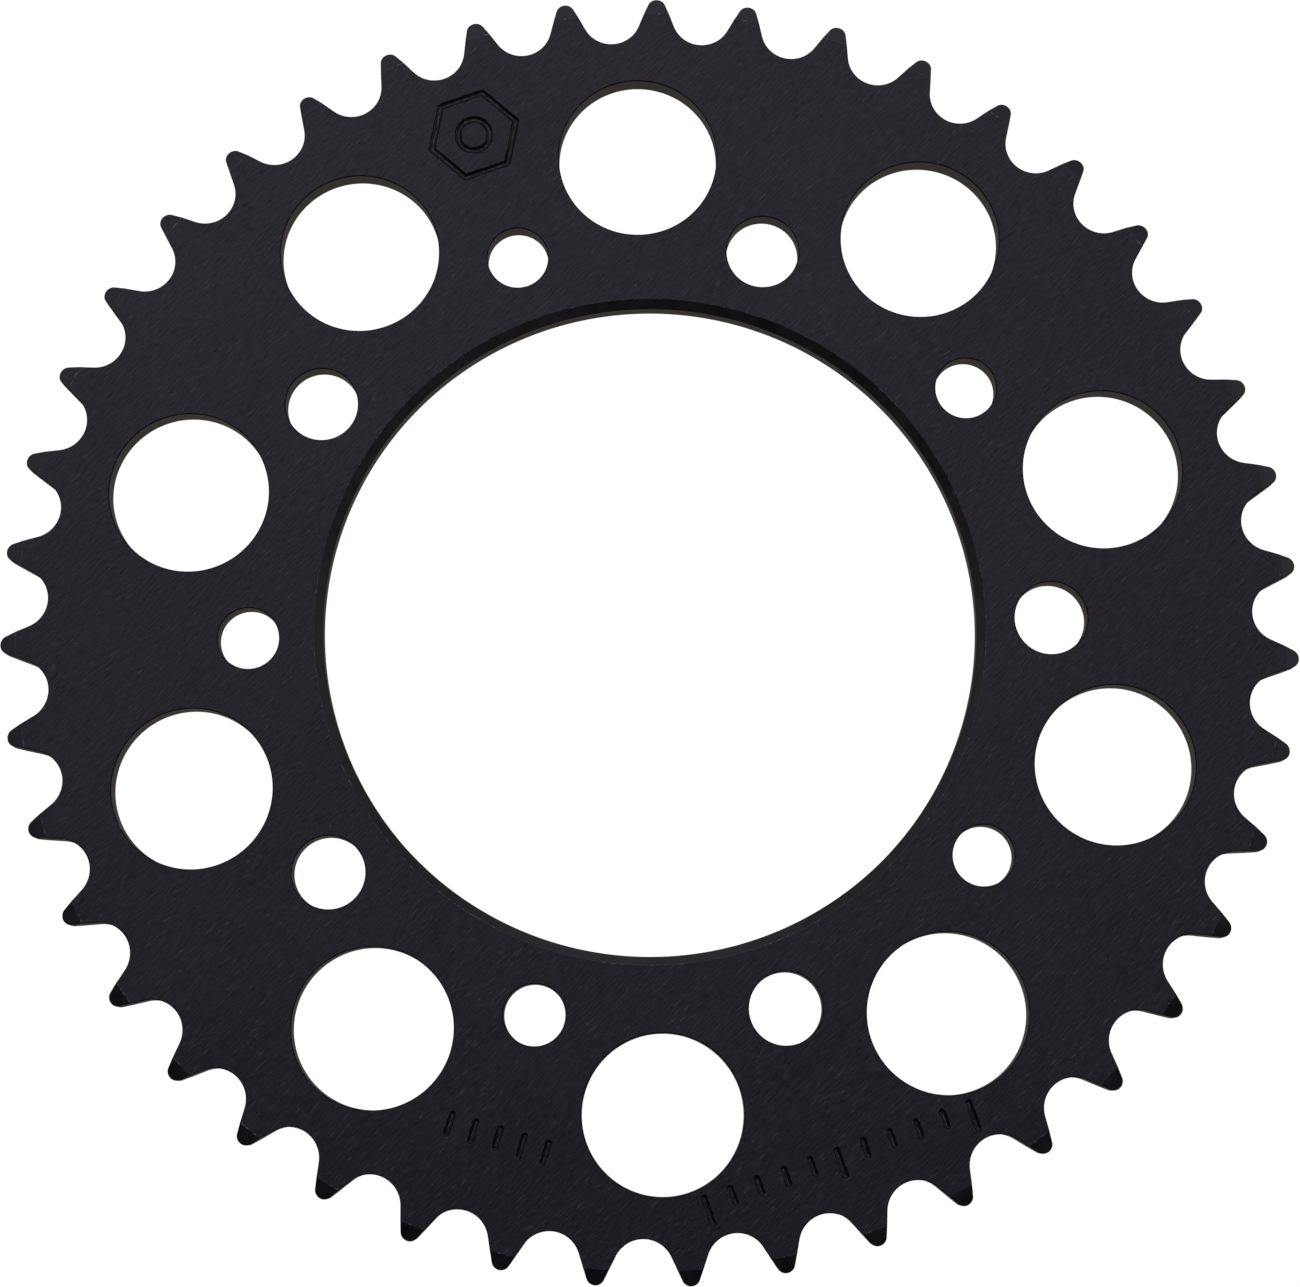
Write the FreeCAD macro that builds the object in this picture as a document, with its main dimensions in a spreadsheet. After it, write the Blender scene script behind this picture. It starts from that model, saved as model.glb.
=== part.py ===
import FreeCAD, Part
import os
from math import cos, pi, radians, sin, tan

import Sketcher

# Rear sprocket: one steel plate with chain teeth round its rim, a centre bore for the hub's spigot,
# two sets of stud holes on one bolt circle, and a ring of lightening holes.
#
# The plate lies flat. +Z is its axis and leaves the marked front face. The origin is on the axis,
# at the back face that seats on the hub. A tooth gap and a large stud hole lie on +X.
# Lengths are in millimetres and angles in degrees.

SIZES = [
    # alias, value, meaning
    ("pitch", "15.875", "chain pitch, five eighths of an inch"),
    ("roller_diameter", "10.16", "chain roller"),
    ("tooth_count", "43", "teeth round the rim"),
    ("seat_radius", "5.2", "tooth seat, a little wider than the roller it holds"),
    ("flank_angle", "26", "tooth flank against the centre line of its gap"),
    ("outside_diameter", "223.5", "over the rounded tooth tips"),
    ("tip_overlap", "0.4", "how far neighbouring gaps overlap outside a tooth tip"),
    ("blank_diameter", "225", "turned blank, before the teeth are cut"),
    ("bevel_diameter", "218", "where the tip bevel meets the face"),
    ("bevel_angle", "20", "tip bevel against the face"),
    ("plate_thickness", "5.3", "plate"),
    ("bore_diameter", "112.5", "centre bore"),
    ("bore_chamfer", "1.5", "bore edge at the front face"),
    ("edge_break", "0.2", "every hole edge and the back edge of the bore"),
    ("stud_circle", "138", "circle of both sets of stud holes"),
    ("stud_count", "5", "holes in each set"),
    ("large_stud_hole", "12.5", "clearance hole for an M12 stud"),
    ("small_stud_hole", "10.5", "clearance hole for an M10 stud"),
    ("lightening_circle", "166", "circle of the lightening holes"),
    ("lightening_count", "10", "lightening holes"),
    ("lightening_hole", "27.5", "diameter"),
    ("cutter_radius", "0.65", "ball-nosed cutter of the engraved marks"),
    ("mark_depth", "0.4", "deepest point of a mark"),
    ("scale_angle", "-72", "direction of the long scale"),
    ("scale_radius", "94.2", "inner end of the long scale's ticks"),
    ("scale_length", "47.5", "first tick to last"),
    ("scale_steps", "10", "steps between first tick and last"),
    ("long_tick", "4.6", "cutter travel of a long tick"),
    ("short_tick", "2.6", "cutter travel of a short tick"),
    ("small_scale_angle", "-108", "direction of the short scale"),
    ("small_scale_radius", "88.9", "inner end of the short scale's ticks"),
    ("small_scale_length", "17", "first tick to last"),
    ("small_scale_steps", "4", "steps between first tick and last"),
    ("small_tick", "3.4", "cutter travel"),
    ("emblem_angle", "108", "direction of the hexagon mark"),
    ("emblem_radius", "92.3", "its centre"),
    ("hexagon_flats", "13.4", "hexagon, across the middle of its strokes"),
    ("ring_diameter", "5.6", "ring inside the hexagon"),
]

doc = FreeCAD.newDocument("RearSprocket")


def make_sheet():
    """The spreadsheet of driving dimensions, one row each."""
    page = doc.addObject("Spreadsheet::Sheet", "Sizes")
    page.Label = "Sizes"
    for row, (alias, value, meaning) in enumerate(SIZES, start=1):
        page.set("A%d" % row, alias)
        page.set("B%d" % row, value)
        page.set("C%d" % row, meaning)
        page.setAlias("B%d" % row, alias)
    doc.recompute()
    return page


sheet = make_sheet()
body = doc.addObject("PartDesign::Body", "Sprocket")
body.Label = "sprocket"


def size(alias):
    """A driving dimension as a number, for the first position of sketched geometry."""
    return float(sheet.get(alias))


def origin_plane(role):
    return next(item for item in body.Origin.OriginFeatures if item.Role == role)


def new_sketch(name, role):
    """A sketch on one of the body's origin planes. On XZ_Plane its x is radial and its y is +Z."""
    sketch = body.newObject("Sketcher::SketchObject", name)
    sketch.AttachmentSupport = [(origin_plane(role), "")]
    sketch.MapMode = "FlatFace"
    return sketch


def place(sketch, axis, angle, radius=None, shift="0"):
    """Turn a sketch about the plate's axis, then move its origin outwards and sideways.

    axis is the plate's axis in the sketch's own coordinates: z on XY_Plane, y on XZ_Plane.
    angle, radius and shift are expressions. The move is for sketches on XZ_Plane, and shift is
    positive anticlockwise.
    """
    sketch.AttachmentOffset = FreeCAD.Placement(FreeCAD.Vector(), FreeCAD.Rotation(axis, 1))
    sketch.setExpression("AttachmentOffset.Rotation.Angle", angle)
    if radius is None:
        return
    parts = {"r": radius, "s": shift, "cos": "cos(%s * 1 deg)" % angle, "sin": "sin(%s * 1 deg)" % angle}
    sketch.setExpression("AttachmentOffset.Base.x", "({r}) * {cos} - ({s}) * {sin}".format(**parts))
    sketch.setExpression("AttachmentOffset.Base.z", "-({r}) * {sin} - ({s}) * {cos}".format(**parts))


def bind(sketch, name, expression, *constraint):
    """Add a dimension to a sketch and drive it by an expression."""
    index = sketch.addConstraint(Sketcher.Constraint(*constraint))
    sketch.renameConstraint(index, name)
    sketch.setExpression("Constraints." + name, expression)


def join(sketch, *constraints):
    for constraint in constraints:
        sketch.addConstraint(Sketcher.Constraint(*constraint))


def polygon(sketch, points):
    """Closed outline of straight lines: line i runs from point i to the next one."""
    corners = [FreeCAD.Vector(x, y, 0) for x, y in points]
    count = len(corners)
    for i in range(count):
        sketch.addGeometry(Part.LineSegment(corners[i], corners[(i + 1) % count]))
    for i in range(count):
        sketch.addConstraint(Sketcher.Constraint("Coincident", i, 2, (i + 1) % count, 1))


def finish(feature):
    """Recompute, check that the feature is sound and that a cut has really removed metal."""
    before = feature.BaseFeature.Shape.Volume if feature.BaseFeature else None
    doc.recompute()
    if feature.Shape.isNull() or not feature.Shape.isValid():
        raise RuntimeError(feature.Name + " has no valid shape")
    if before is not None and feature.Shape.Volume > before - 1e-3:
        raise RuntimeError(feature.Name + " removed nothing")
    body.Tip = feature
    return feature


def cut_through(name, sketch):
    pocket = body.newObject("PartDesign::Pocket", name)
    pocket.Profile = sketch
    pocket.Type = "ThroughAll"
    pocket.Reversed = True
    return finish(pocket)


def cut_round(name, sketch, axis):
    """Cut away what a closed section sweeps in one turn about an axis of its own sketch."""
    groove = body.newObject("PartDesign::Groove", name)
    groove.Profile = sketch
    groove.ReferenceAxis = (sketch, [axis])
    groove.Angle = 360
    return finish(groove)


def repeat_round(name, feature, axis, count):
    """Repeat a cut evenly round an axis, with the count driven by the sheet."""
    pattern = body.newObject("PartDesign::PolarPattern", name)
    pattern.Originals = [feature]
    pattern.Axis = axis
    pattern.Angle = 360
    pattern.setExpression("Occurrences", count)
    return finish(pattern)


def repeat_along(name, feature, sketch, length, count):
    """Repeat a cut in a row square to its sketch."""
    pattern = body.newObject("PartDesign::LinearPattern", name)
    pattern.Originals = [feature]
    pattern.Direction = (sketch, ["N_Axis"])
    pattern.setExpression("Length", length)
    pattern.setExpression("Occurrences", count)
    return finish(pattern)


def make_blank():
    """The turned blank: bore wall, front bore chamfer, two faces, bevelled rim."""
    bore = size("bore_diameter") / 2
    rim = size("blank_diameter") / 2
    bevel = size("bevel_diameter") / 2
    top = size("plate_thickness")
    chamfer = size("bore_chamfer")
    deep = (rim - bevel) * tan(radians(size("bevel_angle")))
    small = size("edge_break")
    bevel_depth = "(Sizes.blank_diameter - Sizes.bevel_diameter) / 2 * tan(Sizes.bevel_angle * 1 deg)"

    sketch = new_sketch("BlankSection", "XZ_Plane")
    polygon(sketch, [
        (bore, small), (bore, top - chamfer), (bore + chamfer, top), (bevel, top),
        (rim, top - deep), (rim, deep), (bevel, 0), (bore + small, 0),
    ])
    join(sketch, ("Vertical", 0), ("Horizontal", 2), ("Vertical", 4),
         ("PointOnObject", 6, 1, -1), ("PointOnObject", 7, 1, -1))
    bind(sketch, "BoreRadius", "Sizes.bore_diameter / 2", "DistanceX", -1, 1, 0, 1, bore)
    bind(sketch, "RimRadius", "Sizes.blank_diameter / 2", "DistanceX", -1, 1, 4, 1, rim)
    bind(sketch, "FrontBevelRadius", "Sizes.bevel_diameter / 2", "DistanceX", -1, 1, 3, 1, bevel)
    bind(sketch, "BackBevelRadius", "Sizes.bevel_diameter / 2", "DistanceX", -1, 1, 6, 1, bevel)
    bind(sketch, "Thickness", "Sizes.plate_thickness", "DistanceY", -1, 1, 2, 1, top)
    bind(sketch, "ChamferWidth", "Sizes.bore_chamfer", "DistanceX", 1, 1, 1, 2, chamfer)
    bind(sketch, "ChamferDepth", "Sizes.bore_chamfer", "DistanceY", 1, 1, 1, 2, chamfer)
    bind(sketch, "FrontBevelDepth", bevel_depth, "DistanceY", 4, 1, 3, 1, deep)
    bind(sketch, "BackBevelDepth", bevel_depth, "DistanceY", -1, 1, 5, 1, deep)
    bind(sketch, "BackBreakWidth", "Sizes.edge_break", "DistanceX", 0, 1, 7, 1, small)
    bind(sketch, "BackBreakDepth", "Sizes.edge_break", "DistanceY", -1, 1, 0, 1, small)

    blank = body.newObject("PartDesign::Revolution", "Blank")
    blank.Profile = sketch
    blank.ReferenceAxis = (sketch, ["V_Axis"])
    blank.Angle = 360
    return finish(blank)


def make_teeth():
    """One tooth gap on +X, repeated round the rim.

    A roller in the gap has its centre on the pitch circle and touches the bottom of the seat. Two
    straight flanks leave the seat tangentially and run into the full round of the tooth tips.
    The gap reaches the middle line of the tooth on either side. Outside the tips its outline
    oversteps that line a little, so that neighbouring gaps overlap, and closes past the blank.
    """
    half_gap = pi / size("tooth_count")
    seat = size("seat_radius")
    seat_centre = size("pitch") / (2 * sin(half_gap)) - size("roller_diameter") / 2 + seat
    slope = radians(size("flank_angle"))
    apex = size("outside_diameter") / 2
    step = size("tip_overlap")
    beyond = size("blank_diameter") / 2 + 1

    # Upper side: flank start, tip radius and centre, flank end, apex, overstep.
    start = (seat_centre - seat * sin(slope), seat * cos(slope))
    start_offset = start[1] * cos(slope) - start[0] * sin(slope)
    tip = (apex * sin(half_gap - slope) - start_offset) / (1 + sin(half_gap - slope))
    centre = ((apex - tip) * cos(half_gap), (apex - tip) * sin(half_gap))
    end = (centre[0] + tip * sin(slope), centre[1] - tip * cos(slope))
    top = (apex * cos(half_gap), apex * sin(half_gap))
    over = (top[0] - step * sin(half_gap), top[1] + step * cos(half_gap))

    corner = (beyond, over[1])

    def line(first, last):
        return Part.LineSegment(FreeCAD.Vector(*first, 0), FreeCAD.Vector(*last, 0))

    def arc(middle, radius, first, last):
        circle = Part.Circle(FreeCAD.Vector(*middle, 0), FreeCAD.Vector(0, 0, 1), radius)
        return Part.ArcOfCircle(circle, first, last)

    def below(xy):
        return (xy[0], -xy[1])

    sketch = new_sketch("ToothGapSketch", "XY_Plane")
    sketch.addGeometry([
        arc((seat_centre, 0), seat, pi / 2 + slope, 3 * pi / 2 - slope),
        line(start, end),
        arc(centre, tip, slope - pi / 2, half_gap),
        line(top, over),
        line(over, corner),
        line(corner, below(corner)),
        line(below(corner), below(over)),
        line(below(over), below(top)),
        arc(below(centre), tip, -half_gap, pi / 2 - slope),
        line(below(end), below(start)),
    ])
    middle_line = sketch.addGeometry(line((0, 0), top), True)
    join(sketch,
         ("Tangent", 0, 1, 1, 1), ("Tangent", 1, 2, 2, 1), ("Coincident", 2, 2, 3, 1),
         ("Coincident", 3, 2, 4, 1), ("Coincident", 4, 2, 5, 1), ("Coincident", 5, 2, 6, 1),
         ("Coincident", 6, 2, 7, 1), ("Coincident", 7, 2, 8, 1), ("Tangent", 8, 2, 9, 1),
         ("Tangent", 9, 2, 0, 2), ("PointOnObject", 0, 3, -1),
         ("Coincident", middle_line, 1, -1, 1), ("Coincident", middle_line, 2, 2, 2),
         ("PointOnObject", 2, 3, middle_line), ("Perpendicular", 3, middle_line),
         ("Horizontal", 4), ("Symmetric", 5, 1, 5, 2, -1), ("Symmetric", 2, 3, 8, 3, -1),
         ("Symmetric", 3, 2, 7, 1, -1), ("Equal", 3, 7))
    bind(sketch, "SeatCentre",
         "Sizes.pitch / (2 * sin(180 deg / Sizes.tooth_count)) - Sizes.roller_diameter / 2"
         " + Sizes.seat_radius",
         "DistanceX", -1, 1, 0, 3, seat_centre)
    bind(sketch, "SeatRadius", "Sizes.seat_radius", "Radius", 0, seat)
    bind(sketch, "UpperFlank", "Sizes.flank_angle * 1 deg", "Angle", 1, slope)
    bind(sketch, "LowerFlank", "180 deg - Sizes.flank_angle * 1 deg", "Angle", 9, pi - slope)
    bind(sketch, "HalfGap", "180 deg / Sizes.tooth_count", "Angle", middle_line, half_gap)
    bind(sketch, "Apex", "Sizes.outside_diameter / 2", "Distance", middle_line, apex)
    bind(sketch, "Overlap", "Sizes.tip_overlap", "Distance", 3, step)
    bind(sketch, "Beyond", "Sizes.blank_diameter / 2 + 1", "DistanceX", -1, 1, 4, 2, beyond)

    gap = cut_through("ToothGap", sketch)
    return repeat_round("Teeth", gap, (sketch, ["N_Axis"]), "Sizes.tooth_count")


def make_holes(name, circle, diameter, count, first_angle):
    """A ring of equal through holes, the first one at first_angle from +X."""
    sketch = new_sketch(name + "Sketch", "XY_Plane")
    place(sketch, FreeCAD.Vector(0, 0, 1), first_angle)
    centre = FreeCAD.Vector(size(circle) / 2, 0, 0)
    sketch.addGeometry(Part.Circle(centre, FreeCAD.Vector(0, 0, 1), size(diameter) / 2))
    join(sketch, ("PointOnObject", 0, 3, -1))
    bind(sketch, "CircleRadius", "Sizes.%s / 2" % circle, "DistanceX", -1, 1, 0, 3, size(circle) / 2)
    bind(sketch, "HoleDiameter", "Sizes." + diameter, "Diameter", 0, size(diameter))
    hole = cut_through(name + "First", sketch)
    return repeat_round(name, hole, (sketch, ["N_Axis"]), "Sizes." + count)


def break_hole_edges():
    """A small chamfer at both ends of every stud hole and lightening hole."""
    radii = [size(name) / 2 for name in ("large_stud_hole", "small_stud_hole", "lightening_hole")]
    drilled = body.Tip
    ends = []
    for number, edge in enumerate(drilled.Shape.Edges, start=1):
        if not isinstance(edge.Curve, Part.Circle):
            continue
        if any(abs(edge.Curve.Radius - radius) < 1e-6 for radius in radii):
            ends.append("Edge%d" % number)
    chamfer = body.newObject("PartDesign::Chamfer", "HoleEdges")
    chamfer.Base = (drilled, ends)
    chamfer.setExpression("Size", "Sizes.edge_break")
    return finish(chamfer)


def engrave_stroke(name, angle, radius, shift, travel):
    """One straight stroke of the ball-nosed cutter, its middle at the given place.

    The half section under the cutter's path is turned about the path, which leaves a
    round-bottomed groove with ball ends. The stroke runs along the given direction.
    """
    ball = size("cutter_radius")
    height = size("plate_thickness") + ball - size("mark_depth")
    half = ball

    def quarter(x, begin, end):
        circle = Part.Circle(FreeCAD.Vector(x, height, 0), FreeCAD.Vector(0, 0, 1), ball)
        return Part.ArcOfCircle(circle, begin, end)

    def line(x1, x2, y):
        return Part.LineSegment(FreeCAD.Vector(x1, y, 0), FreeCAD.Vector(x2, y, 0))

    sketch = new_sketch(name + "Sketch", "XZ_Plane")
    place(sketch, FreeCAD.Vector(0, 1, 0), angle, radius, shift)
    sketch.addGeometry([
        quarter(-half, pi, 3 * pi / 2),
        line(-half, half, height - ball),
        quarter(half, 3 * pi / 2, 2 * pi),
        line(half + ball, -half - ball, height),
    ])
    join(sketch,
         ("Tangent", 0, 2, 1, 1), ("Tangent", 1, 2, 2, 1), ("Coincident", 2, 2, 3, 1),
         ("Coincident", 3, 2, 0, 1), ("Horizontal", 3), ("PointOnObject", 0, 3, 3),
         ("Symmetric", 0, 3, 2, 3, -2), ("Equal", 0, 2))
    bind(sketch, "Ball", "Sizes.cutter_radius", "Radius", 0, ball)
    bind(sketch, "Height", "Sizes.plate_thickness + Sizes.cutter_radius - Sizes.mark_depth",
         "DistanceY", -1, 1, 3, 1, height)
    bind(sketch, "Travel", travel, "DistanceX", 0, 3, 2, 3, 2 * half)
    return cut_round(name, sketch, "Edge4"), sketch


def engrave_ticks(name, angle, radius, travel, length, steps, first_shift):
    """A row of equal ticks side by side, from first_shift on through the given length."""
    middle = "Sizes.%s + Sizes.%s / 2" % (radius, travel)
    tick, sketch = engrave_stroke(name + "First", angle, middle, first_shift, "Sizes." + travel)
    return repeat_along(name, tick, sketch, length, steps + " + 1")


def engrave_scales():
    """Two plain graduated scales: a long one with a long tick at both ends and in the middle."""
    length = "Sizes.scale_length"
    step = "%s / Sizes.scale_steps" % length
    gap_steps = "Sizes.scale_steps / 2 - 2"
    engrave_ticks("LongTicks", "Sizes.scale_angle", "scale_radius", "long_tick",
                  length, "2", length + " / 2")
    for name, side in (("ShortTicksA", "%s / 2 - %s" % (length, step)), ("ShortTicksB", "-" + step)):
        engrave_ticks(name, "Sizes.scale_angle", "scale_radius", "short_tick",
                      "%s * (%s)" % (step, gap_steps), gap_steps, side)
    engrave_ticks("SmallTicks", "Sizes.small_scale_angle", "small_scale_radius", "small_tick",
                  "Sizes.small_scale_length", "Sizes.small_scale_steps",
                  "Sizes.small_scale_length / 2")


def engrave_emblem():
    """A plain hexagon outline with a ring in it."""
    ball = size("cutter_radius")
    height = size("plate_thickness") + ball - size("mark_depth")
    ring_radius = size("ring_diameter") / 2
    sketch = new_sketch("RingSketch", "XZ_Plane")
    place(sketch, FreeCAD.Vector(0, 1, 0), "Sizes.emblem_angle", "Sizes.emblem_radius")
    centre = FreeCAD.Vector(ring_radius, height, 0)
    sketch.addGeometry(Part.Circle(centre, FreeCAD.Vector(0, 0, 1), ball))
    bind(sketch, "Ball", "Sizes.cutter_radius", "Radius", 0, ball)
    bind(sketch, "Height", "Sizes.plate_thickness + Sizes.cutter_radius - Sizes.mark_depth",
         "DistanceY", -1, 1, 0, 3, height)
    bind(sketch, "RingRadius", "Sizes.ring_diameter / 2", "DistanceX", -1, 1, 0, 3, ring_radius)
    cut_round("Ring", sketch, "V_Axis")
    side, _ = engrave_stroke("HexagonSide", "Sizes.emblem_angle", "Sizes.emblem_radius",
                             "Sizes.hexagon_flats / 2", "Sizes.hexagon_flats / sqrt(3)")
    repeat_round("Hexagon", side, (sketch, ["V_Axis"]), "6")


def check_and_write():
    """Stop if anything in the document has failed, then write the sub-part."""
    doc.recompute()
    for item in doc.Objects:
        if "Invalid" in item.State or "Error" in item.State:
            raise RuntimeError(item.Name + ": " + ", ".join(item.State))
        if item.TypeId == "Sketcher::SketchObject" and item.solve() != 0:
            raise RuntimeError(item.Name + " is not solved")
    shape = body.Shape
    if shape.isNull() or not shape.isValid() or len(shape.Solids) != 1:
        raise RuntimeError("the plate is not one sound solid")
    os.makedirs("parts", exist_ok=True)
    shape.exportStep("parts/%s.step" % body.Label)
    print("%s: %.1f mm3, %d faces" % (body.Label, shape.Volume, len(shape.Faces)))


make_blank()
engrave_emblem()
engrave_scales()
make_holes("LargeStudHoles", "stud_circle", "large_stud_hole", "stud_count", "0")
make_holes("SmallStudHoles", "stud_circle", "small_stud_hole", "stud_count",
           "180 / Sizes.stud_count")
make_holes("LighteningHoles", "lightening_circle", "lightening_hole", "lightening_count",
           "180 / Sizes.lightening_count")
break_hole_edges()
make_teeth()
check_and_write()
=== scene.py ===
from math import atan2, cos, hypot, pi, radians, sin, sqrt, tan

import bpy
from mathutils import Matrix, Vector, geometry


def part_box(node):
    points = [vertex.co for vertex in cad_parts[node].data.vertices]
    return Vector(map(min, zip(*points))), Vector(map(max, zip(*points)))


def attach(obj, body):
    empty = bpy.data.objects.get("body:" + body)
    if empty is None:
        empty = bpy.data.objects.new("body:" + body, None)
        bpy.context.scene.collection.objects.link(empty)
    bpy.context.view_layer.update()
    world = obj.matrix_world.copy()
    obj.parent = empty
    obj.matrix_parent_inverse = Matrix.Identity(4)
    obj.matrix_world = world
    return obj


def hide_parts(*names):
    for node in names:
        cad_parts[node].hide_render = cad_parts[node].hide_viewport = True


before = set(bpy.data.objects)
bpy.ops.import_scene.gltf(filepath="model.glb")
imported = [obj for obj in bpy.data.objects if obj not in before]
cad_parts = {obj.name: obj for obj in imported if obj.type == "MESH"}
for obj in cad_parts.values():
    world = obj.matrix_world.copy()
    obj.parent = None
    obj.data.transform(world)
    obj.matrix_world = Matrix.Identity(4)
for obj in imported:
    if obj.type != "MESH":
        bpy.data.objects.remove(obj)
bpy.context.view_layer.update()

# A black steel motorcycle sprocket lying on a pale floor. The plate is one finely cut mesh with
# rounded edges that stands for the CAD plate. Sizes are in millimetres until the mesh is made.

LOW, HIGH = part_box("sprocket")
MM = 0.001

# ---------------------------------------------------------------- sizes of the plate, as in the CAD
THICKNESS = (HIGH.z - LOW.z) / MM
TEETH = 43
PITCH = 15.875
ROLLER = 10.16
SEAT = 5.2
FLANK = radians(26)
TIP_CIRCLE = 223.5 / 2
BEVEL_CIRCLE = 218 / 2
BEVEL = tan(radians(20))
BORE = 112.5 / 2
BORE_CHAMFER = 1.5
STUD_CIRCLE = 138 / 2
LARGE_STUD = 12.5 / 2
SMALL_STUD = 10.5 / 2
LIGHTENING_CIRCLE = 166 / 2
LIGHTENING = 27.5 / 2

# Engraved marks, cut with a ball-nosed cutter.
BALL = 0.65
MARK_DEPTH = 0.4
EMBLEM_ANGLE = radians(108)
EMBLEM_CIRCLE = 92.3
EMBLEM_RING = 2.8
EMBLEM_FLATS = 13.4
# Each scale: its angle, the circle its ticks start from, its span, and the length of each tick.
SCALES = (
    (radians(-72), 94.2, 47.5, (4.6, 2.6, 2.6, 2.6, 2.6, 4.6, 2.6, 2.6, 2.6, 2.6, 4.6)),
    (radians(-108), 88.9, 17.0, (3.4, 3.4, 3.4, 3.4, 3.4)),
)

# ---------------------------------------------------------------- roundness and fineness
TOOTH_EDGE = 0.16
HOLE_EDGE = 0.2
CHAMFER_EDGE = 0.16
MARK_EDGE = 0.08
CREASE = 0.1
STEPS = 4
MARK_STEPS = 3
TOOTH_ARC_STEPS = 14
STROKE_END_STEPS = 12
CORNER_STEPS = 6
RING_POINTS = 48
BORE_POINTS = 480
# Each set of holes: its circle, radius, number, the first one's angle, and the points round one.
HOLES = (
    (STUD_CIRCLE, LARGE_STUD, 5, 0, 96),
    (STUD_CIRCLE, SMALL_STUD, 5, pi / 5, 96),
    (LIGHTENING_CIRCLE, LIGHTENING, 10, pi / 10, 160),
)

# ---------------------------------------------------------------- wear, and a painted highlight, from 0 to 1
CREASE_WEAR = (0, 0.7, 1, 0.7, 0)
# Painted highlight: a thin bright line along each groove's bottom, stored with the wear.
GROOVE_PAINTED_HIGHLIGHT = 0.7

# ---------------------------------------------------------------- finishes, in slot order
GROUND, TURNED, EDGE, WALL, GROOVE = range(5)


class Skin:
    """The plate's surface: each vertex has its exact normal, its wear and painted highlight, each face
    a finish.
    """

    def __init__(self):
        self.points = []
        self.normals = []
        self.wear_and_highlight = []
        self.faces = []
        self.finishes = []
        self.known = {}

    def vertex(self, point, normal, wear_and_highlight=0.0):
        key = tuple(round(c * 1e4) for c in point)
        if key not in self.known:
            self.known[key] = len(self.points)
            self.points.append(Vector(point))
            self.normals.append(Vector(normal).normalized())
            self.wear_and_highlight.append(wear_and_highlight)
        return self.known[key]

    def face(self, corners, finish):
        """Add a face, without repeated corners and turned the way its normals point."""
        ring = [c for i, c in enumerate(corners) if c != corners[i - 1]]
        if len(set(ring)) < 3:
            return
        around = Vector((0, 0, 0))
        for i, c in enumerate(ring):
            around += self.points[ring[i - 1]].cross(self.points[c])
        if around.dot(sum((self.normals[c] for c in ring), Vector((0, 0, 0)))) < 0:
            ring.reverse()
        self.faces.append(ring)
        self.finishes.append(finish)

    def bridge(self, rows, finishes, closed=True):
        """Quads between neighbouring rows of vertices. finishes has one entry for each gap."""
        for upper, lower, finish in zip(rows, rows[1:], finishes):
            count = len(upper) if closed else len(upper) - 1
            for i in range(count):
                j = (i + 1) % len(upper)
                self.face([upper[i], lower[i], lower[j], upper[j]], finish)

    def fill(self, loops, finish):
        """Triangles on a flat area between loops: an odd number of loops round a point means metal."""
        ids = [v for loop in loops for v in loop]
        flat = [self.points[v].to_2d() for v in ids]
        polygons = []
        for loop in loops:
            start = sum(len(p) for p in polygons)
            polygons.append(list(range(start, start + len(loop))))
        _, _, faces, origin, _, inside = geometry.delaunay_2d_cdt(flat, [], polygons, 1, 1e-7)
        for corners, around in zip(faces, inside):
            if len(around) % 2:
                self.face([ids[origin[c][0]] for c in corners], finish)


def round_edge(skin, corners, radius, steps=STEPS):
    """Rows of vertices round an edge, from its first surface to its second.

    corners holds (point, first normal, second normal) along the edge, which is worn most at its
    middle.
    """
    rows = []
    for step in range(steps + 1):
        part = step / steps
        row = []
        for point, first, second in corners:
            first, second = Vector(first), Vector(second)
            turn = first.angle(second)
            normal = first * sin((1 - part) * turn) + second * sin(part * turn)
            normal.normalize()
            inward = (first + second) / (1 + first.dot(second))
            wear_and_highlight = 4 * part * (1 - part)
            row.append(skin.vertex(Vector(point) + radius * (normal - inward), normal, wear_and_highlight))
        rows.append(row)
    return rows


# ---------------------------------------------------------------- teeth
def face_drop(radius):
    """How far a bevelled face lies below the flat, and its slope, at a radius."""
    over = radius - BEVEL_CIRCLE
    if over <= -CREASE:
        return 0.0, 0.0
    if over >= CREASE:
        return BEVEL * over, BEVEL
    return BEVEL * (over + CREASE) ** 2 / (4 * CREASE), BEVEL * (over + CREASE) / (2 * CREASE)


def face_point(x, y, side):
    """A point of the front (side 1) or back (side -1) surface above x, y, with its normal."""
    radius = hypot(x, y)
    drop, slope = face_drop(radius)
    height = THICKNESS - drop if side > 0 else drop
    normal = Vector((slope * x / radius, slope * y / radius, side)).normalized()
    return Vector((x, y, height)), normal


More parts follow.
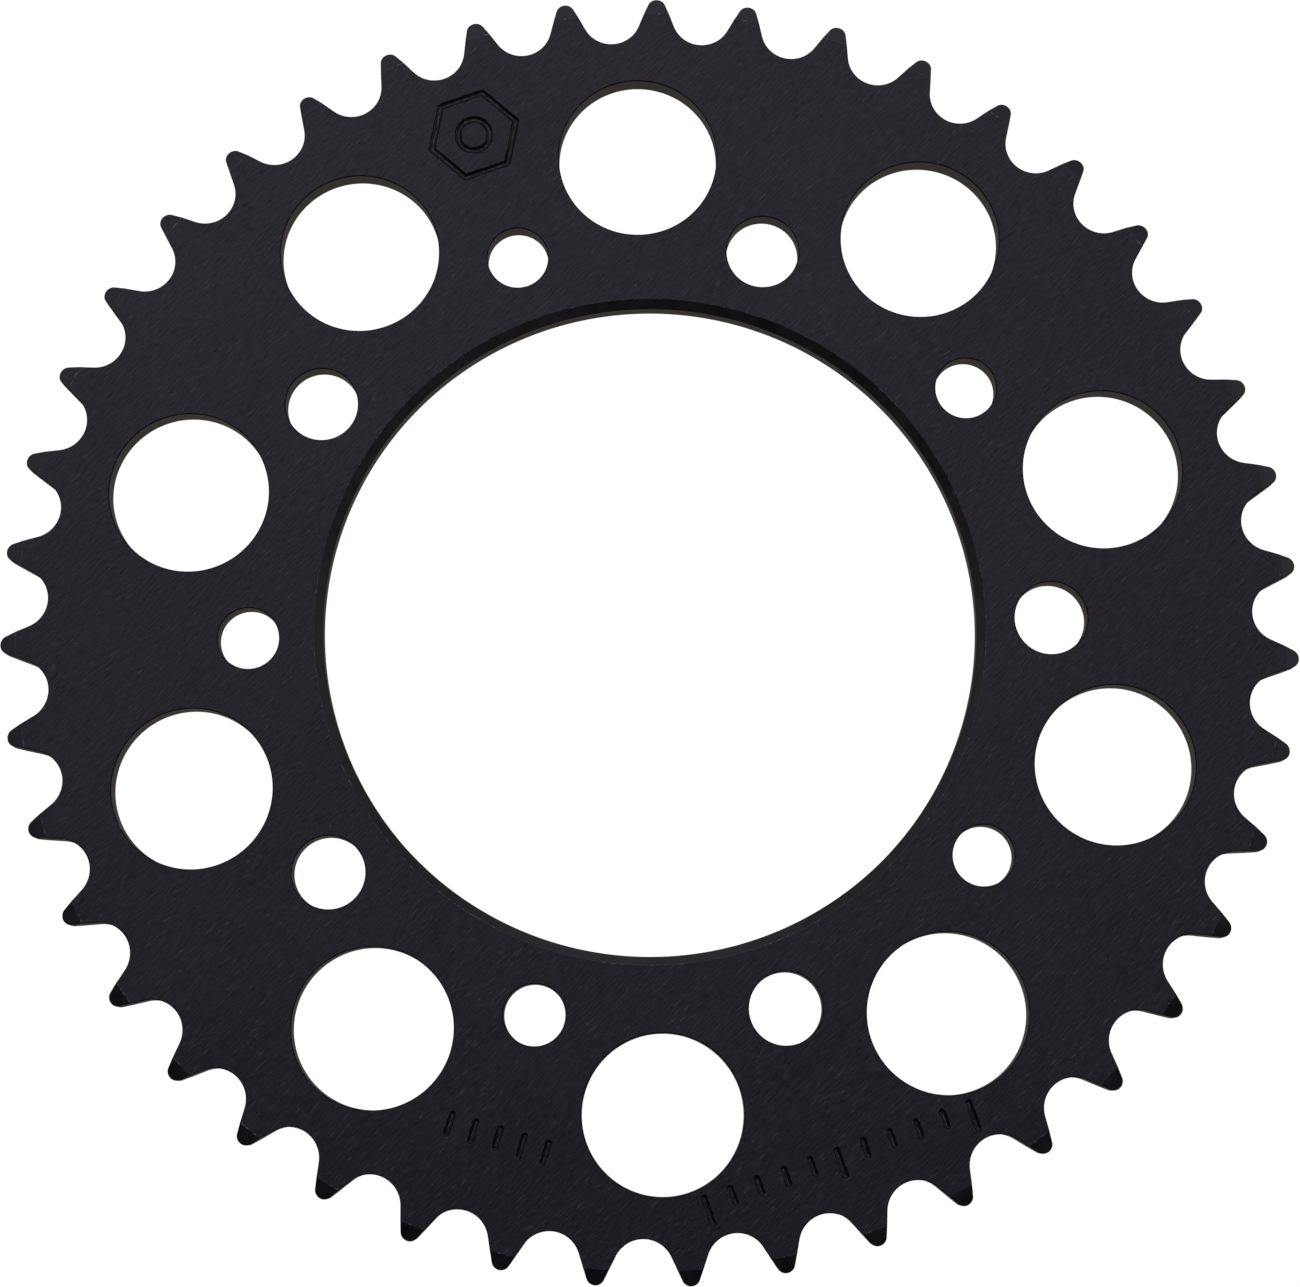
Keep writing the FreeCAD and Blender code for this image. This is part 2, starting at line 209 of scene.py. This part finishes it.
def half_tooth():
    """Outline from the bottom of a gap on +X to the apex of the tooth above it, with its normals.

    Also gives the number of points before the bevel's crease.
    """
    half = pi / TEETH
    centre = PITCH / (2 * sin(half)) - ROLLER / 2 + SEAT
    start = (centre - SEAT * sin(FLANK), SEAT * cos(FLANK))
    offset = start[1] * cos(FLANK) - start[0] * sin(FLANK)
    tip = (TIP_CIRCLE * sin(half - FLANK) - offset) / (1 + sin(half - FLANK))
    tip_centre = ((TIP_CIRCLE - tip) * cos(half), (TIP_CIRCLE - tip) * sin(half))
    outline = []
    for step in range(TOOTH_ARC_STEPS + 1):
        turn = pi - step / TOOTH_ARC_STEPS * (pi / 2 - FLANK)
        outline.append((centre + SEAT * cos(turn), SEAT * sin(turn), -cos(turn), -sin(turn)))
    crease = len(outline)
    for radius in (BEVEL_CIRCLE + CREASE * k for k in (-1, -0.5, 0, 0.5, 1)):
        # Where the flank, a straight line, crosses this circle.
        along = start[0] * cos(FLANK) + start[1] * sin(FLANK)
        run = sqrt(radius**2 - offset**2) - along
        spot = (start[0] + run * cos(FLANK), start[1] + run * sin(FLANK))
        outline.append((*spot, sin(FLANK), -cos(FLANK)))
    for step in range(TOOTH_ARC_STEPS + 1):
        turn = FLANK - pi / 2 + step / TOOTH_ARC_STEPS * (half + pi / 2 - FLANK)
        outline.append((tip_centre[0] + tip * cos(turn), tip_centre[1] + tip * sin(turn),
                        cos(turn), sin(turn)))
    return outline, crease


def turned(item, angle):
    """An outline entry (x, y, normal x, normal y) turned about the axis."""
    c, s = cos(angle), sin(angle)
    x, y, u, v = item
    return (x * c - y * s, x * s + y * c, u * c - v * s, u * s + v * c)


def mirrored(item):
    """An outline entry on the other side of the X axis."""
    return (item[0], -item[1], item[2], -item[3])


def make_rim(skin):
    """Teeth with rounded edges and bevelled tips. Gives the flat faces' outer loops."""
    half = pi / TEETH
    rising, crease = half_tooth()
    rising = [turned(item, -half) for item in rising]
    tooth = rising + [mirrored(item) for item in reversed(rising[1:-1])]
    last = len(tooth)
    outline = [turned(item, (2 * k + 1) * half) for k in range(TEETH) for item in tooth]

    edges = {}
    for side in (1, -1):
        corners = []
        for x, y, u, v in outline:
            point, normal = face_point(x, y, side)
            corners.append((point, normal, (u, v, 0)))
        edges[side] = round_edge(skin, corners, TOOTH_EDGE)
    rows = edges[1] + edges[-1][::-1]
    bends = [EDGE] * STEPS
    skin.bridge(rows, bends + [WALL] + bends)

    loops = {}
    for side in (1, -1):
        inner = edges[side][0]
        loop = []
        for k in range(TEETH):
            first = k * last
            strip = [inner[(first + i) % len(inner)] for i in range(last + 1)]
            loop += strip[:crease] + bevel_patch(skin, strip[crease:last + 1 - crease], side)
            loop += strip[last + 1 - crease:last]
        loops[side] = loop
    return loops


def bevel_patch(skin, strip, side):
    """The bevelled end of one tooth. Gives the row along its border with the flat face."""
    last = len(CREASE_WEAR) - 1
    top = strip[last:len(strip) - last]
    count = len(top)
    rows = []
    for k, wear_and_highlight in enumerate(CREASE_WEAR):
        left, right = skin.points[strip[k]], skin.points[strip[-1 - k]]
        rows.append([strip[k], *arc_row(skin, left, right, count, side, wear_and_highlight), strip[-1 - k]])
    arc = rows[-1]
    for part in (0.25, 0.5, 0.75):
        row = [arc[0]]
        for i in range(1, count - 1):
            a, b = skin.points[arc[i]], skin.points[top[i]]
            row.append(skin.vertex(*face_point(*(a + (b - a) * part).to_2d(), side)))
        rows.append(row + [arc[-1]])
    rows.append(top)
    skin.bridge(rows, [TURNED] * (len(rows) - 1), closed=False)
    return rows[0]


def arc_row(skin, left, right, count, side, wear_and_highlight):
    """Vertices on the face between two points of equal radius, along their circle."""
    radius = hypot(left.x, left.y)
    begin = atan2(left.y, left.x)
    sweep = (atan2(right.y, right.x) - begin + pi) % (2 * pi) - pi
    spots = []
    for i in range(1, count - 1):
        turn = begin + sweep * i / (count - 1)
        spots.append(skin.vertex(*face_point(radius * cos(turn), radius * sin(turn), side), wear_and_highlight))
    return spots


# ---------------------------------------------------------------- holes
def circle(centre, radius, count):
    """Entries (x, y, outward x, outward y) round a circle."""
    ring = []
    for i in range(count):
        turn = 2 * pi * i / count
        ring.append((centre[0] + radius * cos(turn), centre[1] + radius * sin(turn),
                     cos(turn), sin(turn)))
    return ring


def make_hole(skin, centre, radius, count):
    """A through hole with rounded edges. Gives its loops on the front and the back face."""
    ring = circle(centre, radius, count)
    front = round_edge(skin, [((x, y, THICKNESS), (0, 0, 1), (-u, -v, 0)) for x, y, u, v in ring],
                       HOLE_EDGE)
    back = round_edge(skin, [((x, y, 0), (0, 0, -1), (-u, -v, 0)) for x, y, u, v in ring],
                      HOLE_EDGE)
    rows = front + back[::-1]
    bends = [EDGE] * STEPS
    skin.bridge(rows, bends + [WALL] + bends)
    return front[0], back[0]


def make_bore(skin):
    """The centre bore: front chamfer, wall and a small round at the back. Gives its two loops."""
    ring = circle((0, 0), BORE, BORE_POINTS)
    wide = BORE + BORE_CHAMFER
    lean = sqrt(0.5)
    outer, inner, back = [], [], []
    for _, _, u, v in ring:
        slant = (-u * lean, -v * lean, lean)
        outer.append(((u * wide, v * wide, THICKNESS), (0, 0, 1), slant))
        inner.append(((u * BORE, v * BORE, THICKNESS - BORE_CHAMFER), slant, (-u, -v, 0)))
        back.append(((u * BORE, v * BORE, 0), (0, 0, -1), (-u, -v, 0)))
    top = round_edge(skin, outer, CHAMFER_EDGE)
    middle = round_edge(skin, inner, CHAMFER_EDGE)
    low = round_edge(skin, back, HOLE_EDGE)
    bends = [EDGE] * STEPS
    skin.bridge(top + middle + low[::-1], [TURNED] * (STEPS + 1) + bends + [WALL] + bends)
    return top[0], low[0]


# ---------------------------------------------------------------- engraved marks
def groove_side(skin, path):
    """Rows of a ball-nosed groove from its lip to its middle.

    path holds (x, y, direction x, direction y) round the groove's centre line: the groove's
    side lies along that direction, which may be longer than 1 where two strokes meet.
    """
    reach = sqrt(BALL**2 - (BALL - MARK_DEPTH) ** 2)
    height = THICKNESS + BALL - MARK_DEPTH

    def at(item, distance):
        x, y, u, v = item
        size = hypot(u, v)
        lift = sqrt(BALL**2 - distance**2)
        point = (x + u * distance, y + v * distance, height - lift)
        return point, (-u / size * distance / BALL, -v / size * distance / BALL, lift / BALL)

    lip = []
    for item in path:
        point, steep = at(item, reach)
        lip.append((point, (0, 0, 1), steep))
    # The lip's rounded edge is worn bare, and that bright steel is partly a painted highlight.
    rows = round_edge(skin, lip, MARK_EDGE, MARK_STEPS)
    for part in (0.8, 0.6, 0.4, 0.2, 0):
        # The middle row gets the painted highlight, a thin bright line along the groove's bottom.
        painted_highlight = 0 if part else GROOVE_PAINTED_HIGHLIGHT
        rows.append([skin.vertex(*at(item, reach * part), painted_highlight) for item in path])
    return rows


def make_stroke(skin, angle, radius, shift, travel):
    """One straight stroke along the direction angle. Gives its lip."""
    out = Vector((cos(angle), sin(angle)))
    aside = Vector((-sin(angle), cos(angle)))
    middle = out * radius + aside * shift
    path = []
    for end, start in ((1, angle - pi / 2), (-1, angle + pi / 2)):
        spot = middle + out * (end * travel / 2)
        for step in range(STROKE_END_STEPS + 1):
            turn = start + pi * step / STROKE_END_STEPS
            path.append((spot.x, spot.y, cos(turn), sin(turn)))
    rows = groove_side(skin, path)
    skin.bridge(rows, [GROOVE] * (len(rows) - 1))
    return rows[0]


def make_scales(skin):
    """Two plain graduated scales. Gives the lips of their ticks."""
    lips = []
    for angle, start, span, ticks in SCALES:
        for i, travel in enumerate(ticks):
            shift = span * (0.5 - i / (len(ticks) - 1))
            lips.append(make_stroke(skin, angle, start + travel / 2, shift, travel))
    return lips


def make_closed_groove(skin, outer, inner):
    """A groove along a closed line, from its two sides' paths. Gives the two lips."""
    outside = groove_side(skin, outer)
    inside = groove_side(skin, inner)
    skin.bridge(outside + inside[-2::-1], [GROOVE] * (len(outside) + len(inside) - 2))
    return [outside[0], inside[0]]


def make_emblem(skin):
    """A hexagon outline with a ring in it. Gives their lips, without repeated corners."""
    centre = (EMBLEM_CIRCLE * cos(EMBLEM_ANGLE), EMBLEM_CIRCLE * sin(EMBLEM_ANGLE))
    ring = circle(centre, EMBLEM_RING, RING_POINTS)
    lips = make_closed_groove(skin, ring, [(x, y, -u, -v) for x, y, u, v in ring])

    corner_radius = EMBLEM_FLATS / sqrt(3)
    outer, inner = [], []
    for k in range(6):
        turn = EMBLEM_ANGLE + pi / 6 + k * pi / 3
        x, y = centre[0] + corner_radius * cos(turn), centre[1] + corner_radius * sin(turn)
        for step in range(CORNER_STEPS + 1):
            bend = turn - pi / 6 + step / CORNER_STEPS * pi / 3
            outer.append((x, y, cos(bend), sin(bend)))
            inner.append((x, y, -cos(turn) / cos(pi / 6), -sin(turn) / cos(pi / 6)))
    lips += make_closed_groove(skin, outer, inner)
    return [list(dict.fromkeys(lip)) for lip in lips]


# ---------------------------------------------------------------- the whole plate
def make_plate():
    """The whole plate as one object, without its materials."""
    skin = Skin()
    rim = make_rim(skin)
    bore_front, bore_back = make_bore(skin)
    front, back = [rim[1], bore_front], [rim[-1], bore_back]
    for distance, radius, number, first, count in HOLES:
        for k in range(number):
            turn = first + 2 * pi * k / number
            loops = make_hole(skin, (distance * cos(turn), distance * sin(turn)), radius, count)
            front.append(loops[0])
            back.append(loops[1])
    front += make_scales(skin)
    front += make_emblem(skin)
    skin.fill(front, GROUND)
    skin.fill(back, GROUND)

    mesh = bpy.data.meshes.new("plate")
    mesh.from_pydata([p * MM for p in skin.points], [], skin.faces)
    mesh.polygons.foreach_set("use_smooth", [True] * len(skin.faces))
    mesh.polygons.foreach_set("material_index", skin.finishes)
    # The edge attribute holds the wear of edges and creases, and the painted highlight in the grooves.
    edge = mesh.attributes.new("edge", "FLOAT", "POINT")
    edge.data.foreach_set("value", skin.wear_and_highlight)
    mesh.normals_split_custom_set_from_vertices(skin.normals)
    mesh.validate()
    piece = bpy.data.objects.new("plate", mesh)
    bpy.context.scene.collection.objects.link(piece)
    return piece


# ---------------------------------------------------------------- materials
class Nodes:
    """Short ways to add and join the nodes of one material."""

    def __init__(self, name):
        self.material = bpy.data.materials.new(name)
        self.material.use_nodes = True
        self.tree = self.material.node_tree
        self.shader = self.tree.nodes["Principled BSDF"]

    def add(self, kind, **values):
        node = self.tree.nodes.new(kind)
        for name, value in values.items():
            setattr(node, name, value)
        return node

    def link(self, source, target):
        self.tree.links.new(source, target)

    def math(self, operation, first, second=0.0, clamp=False):
        node = self.add("ShaderNodeMath", operation=operation, use_clamp=clamp)
        for socket, value in zip(node.inputs, (first, second)):
            if isinstance(value, (int, float)):
                socket.default_value = value
            else:
                self.link(value, socket)
        return node.outputs[0]

    def place(self):
        """Coordinates on the object, in metres."""
        return self.add("ShaderNodeTexCoord").outputs["Object"]

    def stretched(self, angle, along, across):
        """Noise coordinates with features this long and this wide, in mm, lying at an angle."""
        turn = self.add("ShaderNodeMapping", vector_type="TEXTURE")
        turn.inputs["Rotation"].default_value = (0, 0, angle)
        turn.inputs["Scale"].default_value = (along * MM, across * MM, across * MM)
        self.link(self.place(), turn.inputs["Vector"])
        return turn.outputs[0]

    def noise(self, vector, detail=2.0, roughness=0.5):
        node = self.add("ShaderNodeTexNoise")
        node.inputs["Scale"].default_value = 1.0
        node.inputs["Detail"].default_value = detail
        node.inputs["Roughness"].default_value = roughness
        self.link(vector, node.inputs["Vector"])
        return node.outputs["Fac"]

    def ramp(self, value, low, high, out_low=0.0, out_high=1.0):
        """The value, taken from between low and high to between the two outputs."""
        node = self.add("ShaderNodeMapRange", clamp=True)
        self.link(value, node.inputs["Value"])
        for name, number in (("From Min", low), ("From Max", high),
                             ("To Min", out_low), ("To Max", out_high)):
            node.inputs[name].default_value = number
        return node.outputs[0]

    def mix(self, amount, dark, light):
        """A colour between two others, each a tuple or a socket."""
        node = self.add("ShaderNodeMix", data_type="RGBA")
        self.link(amount, node.inputs[0])
        for socket, colour in ((node.inputs[6], dark), (node.inputs[7], light)):
            if isinstance(colour, tuple):
                socket.default_value = (*colour, 1)
            else:
                self.link(colour, socket)
        return node.outputs[2]

    def bump(self, height, distance):
        node = self.add("ShaderNodeBump")
        node.inputs["Distance"].default_value = distance * MM
        self.link(height, node.inputs["Height"])
        self.link(node.outputs[0], self.shader.inputs["Normal"])


LIGHT_COLOUR = (0.97, 0.955, 1.075)
GRIND = radians(42.6)
BLACK = (0.0015, 0.0015, 0.0025)
BLACK_WORN = (0.0135, 0.0125, 0.0165)
WORN_RED = (0.029, 0.0195, 0.027)
WORN_BLUE = (0.017, 0.0225, 0.0285)
STEEL = (0.05, 0.048, 0.052)
# Bare steel; in the grooves it also paints highlights.
BRIGHT_STEEL = (0.20, 0.195, 0.205)


def set_sheen(n, level, tint):
    """The black finish reflects a little more blue and violet than green."""
    n.shader.inputs["Specular IOR Level"].default_value = level
    n.shader.inputs["Specular Tint"].default_value = (*tint, 1)


def ground_steel():
    """The two faces: black over straight grinding, with fine scratches that all run one way."""
    n = Nodes("black_ground_steel")
    set_sheen(n, 0.48, (0.90, 0.88, 1.0))
    grain = n.noise(n.stretched(GRIND, 2.0, 0.28), 2, 0.55)
    fine = n.noise(n.stretched(GRIND, 2.6, 0.16), 2, 0.55)
    streak = n.noise(n.stretched(GRIND, 30, 1.1), 2)
    patch = n.noise(n.stretched(0, 20, 20), 3)
    bright = n.ramp(n.noise(n.stretched(GRIND + 0.03, 2.1, 0.26), 1), 0.65, 0.75)
    deep = n.ramp(n.noise(n.stretched(GRIND - 0.04, 2.2, 0.24), 1), 0.62, 0.74)
    cross = n.ramp(n.noise(n.stretched(GRIND - 0.5, 3, 0.2), 1), 0.73, 0.78)
    tone = n.math("ADD", n.math("MULTIPLY", grain, 0.5), n.math("MULTIPLY", fine, 0.3))
    tone = n.math("ADD", tone, n.math("MULTIPLY", streak, 0.1))
    tone = n.math("ADD", tone, n.math("MULTIPLY", patch, 0.1))
    hue = n.ramp(n.noise(n.stretched(GRIND, 3.5, 1.6), 3, 0.7), 0.38, 0.62)
    colour = n.mix(n.ramp(tone, 0.39, 0.61), BLACK, n.mix(hue, WORN_RED, WORN_BLUE))
    marks = n.math("ADD", n.math("MULTIPLY", bright, 0.23), n.math("MULTIPLY", cross, 0.14),
                   clamp=True)
    colour = n.mix(marks, colour, BRIGHT_STEEL)
    n.link(colour, n.shader.inputs["Base Color"])
    rough = n.math("ADD", n.ramp(tone, 0.38, 0.62, 0.46, 0.34), n.math("MULTIPLY", deep, 0.15))
    n.link(rough, n.shader.inputs["Roughness"])
    height = n.math("ADD", grain, n.math("MULTIPLY", fine, 0.5))
    height = n.math("SUBTRACT", height, n.math("MULTIPLY", deep, 0.6))
    height = n.math("ADD", height, n.math("MULTIPLY", bright, 0.6))
    n.bump(height, 0.03)
    return n.material


def turned_steel():
    """Chamfers and bevels: fine rings round the axis, and specks of bare steel on their edges."""
    n = Nodes("black_turned_steel")
    set_sheen(n, 0.54, (0.92, 0.89, 0.96))
    split = n.add("ShaderNodeSeparateXYZ")
    n.link(n.place(), split.inputs[0])
    across = n.add("ShaderNodeCombineXYZ")
    n.link(split.outputs["X"], across.inputs["X"])
    n.link(split.outputs["Y"], across.inputs["Y"])
    radius = n.add("ShaderNodeVectorMath", operation="LENGTH")
    n.link(across.outputs[0], radius.inputs[0])
    rings = n.add("ShaderNodeTexNoise", noise_dimensions="1D")
    rings.inputs["Scale"].default_value = 1 / (0.12 * MM)
    rings.inputs["Detail"].default_value = 2
    n.link(radius.outputs["Value"], rings.inputs["W"])
    patch = n.noise(n.stretched(0, 3, 3), 4, 0.6)
    speck = n.ramp(n.noise(n.stretched(GRIND, 0.9, 0.35), 2), 0.40, 0.62)
    edge = n.add("ShaderNodeAttribute", attribute_name="edge").outputs["Fac"]
    nick = n.ramp(n.noise(n.stretched(0, 0.7, 0.7), 1), 0.58, 0.66)
    colour = n.mix(n.ramp(patch, 0.35, 0.7), BLACK, BLACK_WORN)
    colour = n.mix(n.math("MULTIPLY", edge, speck, clamp=True), colour, STEEL)
    colour = n.mix(n.math("MULTIPLY", edge, nick, clamp=True), colour, BRIGHT_STEEL)
    n.link(colour, n.shader.inputs["Base Color"])
    n.link(n.ramp(patch, 0.3, 0.7, 0.36, 0.46), n.shader.inputs["Roughness"])
    n.bump(rings.outputs["Fac"], 0.002)
    return n.material


def edge_steel():
    """The rounded edges of teeth, holes and bore: deep black, with a few rubbed spots."""
    n = Nodes("black_edge_steel")
    n.shader.inputs["Specular IOR Level"].default_value = 0.16
    spot = n.ramp(n.noise(n.stretched(0, 0.9, 0.9), 3, 0.6), 0.56, 0.70)
    n.link(n.mix(spot, BLACK, STEEL), n.shader.inputs["Base Color"])
    n.link(n.ramp(spot, 0, 1, 0.5, 0.35), n.shader.inputs["Roughness"])
    return n.material


def cut_steel():
    """Walls of the teeth, the holes and the bore: dull black with fine lines along the axis."""
    n = Nodes("black_cut_steel")
    lines = n.noise(n.stretched(0, 0.22, 0.22), 3)
    upright = n.add("ShaderNodeMapping")
    upright.inputs["Scale"].default_value = (1 / (0.2 * MM), 1 / (0.2 * MM), 1 / (3 * MM))
    n.link(n.place(), upright.inputs["Vector"])
    cut = n.noise(upright.outputs[0], 2)
    tone = n.math("ADD", n.math("MULTIPLY", cut, 0.6), n.math("MULTIPLY", lines, 0.4))
    n.link(n.mix(n.ramp(tone, 0.35, 0.7), BLACK, BLACK_WORN), n.shader.inputs["Base Color"])
    n.link(n.ramp(tone, 0.3, 0.7, 0.5, 0.62), n.shader.inputs["Roughness"])
    n.bump(cut, 0.006)
    return n.material


def groove_steel():
    """Engraved marks: darker than the face, chatter, a worn lip, painted highlights on lip and bottom.
    """
    n = Nodes("black_engraved_steel")
    n.shader.inputs["Specular IOR Level"].default_value = 0.24
    chatter = n.noise(n.stretched(0, 0.25, 0.25), 2)
    colour = n.mix(n.ramp(chatter, 0.35, 0.7), BLACK, BLACK_WORN)
    speck = n.ramp(n.noise(n.stretched(0, 0.8, 0.8), 2), 0.42, 0.62)
    edge = n.add("ShaderNodeAttribute", attribute_name="edge").outputs["Fac"]
    # Bright steel on the worn lips, partly a painted highlight, and a painted highlight along the
    # bottoms.
    colour = n.mix(n.math("MULTIPLY", edge, speck, clamp=True), colour, BRIGHT_STEEL)
    n.link(colour, n.shader.inputs["Base Color"])
    n.link(n.ramp(chatter, 0.3, 0.7, 0.2, 0.4), n.shader.inputs["Roughness"])
    n.bump(chatter, 0.02)
    return n.material


# ---------------------------------------------------------------- stage, lights and camera
FLOOR_HALF = 3.0
FLOOR_GAP = 0.0001
FLOOR_GLOW = 0.34
WORLD_GLOW = 0.03
BOX_DISTANCE = 1.6
# Each soft box: its name, degrees from overhead, degrees round from +X, size and radiance.
SOFT_BOXES = (
    ("back_box", 43, 85.5, (1.7, 3.2), 0.65),
    ("right_box", 62, 14, (1.08, 0.8), 1.06),
    ("left_box", 55, 152, (1.5, 1.87), 0.5),
    ("front_box", 67, 305, (1.3, 0.6), 0.2),
)
CAMERA_SPOT = (-0.00398, -0.08182, 0.61525)
CAMERA_TURN = (radians(7.4), radians(-0.172), radians(-1.499))
CAMERA_LENS = 99.2
CAMERA_SENSOR = 36


def make_floor():
    """A pale floor just below the plate."""
    h, low = FLOOR_HALF, LOW.z - FLOOR_GAP
    mesh = bpy.data.meshes.new("floor")
    mesh.from_pydata([(-h, -h, low), (h, -h, low), (h, h, low), (-h, h, low)], [], [(0, 1, 2, 3)])
    floor = bpy.data.objects.new("floor", mesh)
    bpy.context.scene.collection.objects.link(floor)
    n = Nodes("pale_floor")
    n.shader.inputs["Base Color"].default_value = (0.12, 0.12, 0.12, 1)
    n.shader.inputs["Roughness"].default_value = 0.9
    n.shader.inputs["Specular IOR Level"].default_value = 0.1
    # The floor is lit white from within, but throws only a little warm light on the plate.
    seen = n.add("ShaderNodeLightPath").outputs["Is Camera Ray"]
    n.link(n.mix(seen, (1, 0.86, 0.74), (1, 1, 1)), n.shader.inputs["Emission Color"])
    n.link(n.ramp(seen, 0, 1, FLOOR_GLOW, 1.0), n.shader.inputs["Emission Strength"])
    mesh.materials.append(n.material)


def make_world():
    """White where it is seen, and nearly dark as a light."""
    world = bpy.data.worlds.new("studio")
    world.use_nodes = True
    tree = world.node_tree
    background = tree.nodes["Background"]
    background.inputs["Color"].default_value = (1, 1, 1, 1)
    seen = tree.nodes.new("ShaderNodeLightPath").outputs["Is Camera Ray"]
    strength = tree.nodes.new("ShaderNodeMapRange")
    strength.inputs["To Min"].default_value = WORLD_GLOW
    tree.links.new(seen, strength.inputs["Value"])
    tree.links.new(strength.outputs[0], background.inputs["Strength"])
    return world


def make_light(name, tilt, azimuth, size, brightness):
    """A soft box that faces the plate, with the given radiance."""
    light = bpy.data.lights.new(name, "AREA")
    light.shape = "RECTANGLE"
    light.size, light.size_y = size
    light.energy = brightness * pi * size[0] * size[1]
    light.color = LIGHT_COLOUR
    lamp = bpy.data.objects.new(name, light)
    t, a = radians(tilt), radians(azimuth)
    lamp.location = Vector((sin(t) * cos(a), sin(t) * sin(a), cos(t))) * BOX_DISTANCE
    lamp.rotation_euler = (-lamp.location).to_track_quat("-Z", "Y").to_euler()
    bpy.context.scene.collection.objects.link(lamp)


def make_camera():
    """The camera, where the photograph was taken from."""
    data = bpy.data.cameras.new("camera")
    data.lens = CAMERA_LENS
    data.sensor_width = CAMERA_SENSOR
    camera = bpy.data.objects.new("camera", data)
    camera.location = CAMERA_SPOT
    camera.rotation_euler = CAMERA_TURN
    bpy.context.scene.collection.objects.link(camera)
    bpy.context.scene.camera = camera


def make_studio():
    """The floor, the lights and the camera."""
    scene = bpy.context.scene
    scene.view_settings.view_transform = "Standard"
    scene.world = make_world()
    for soft_box in SOFT_BOXES:
        make_light(*soft_box)
    make_floor()
    make_camera()


plate = make_plate()
for finish in (ground_steel(), turned_steel(), edge_steel(), cut_steel(), groove_steel()):
    plate.data.materials.append(finish)
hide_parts("sprocket")
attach(plate, "root")
make_studio()
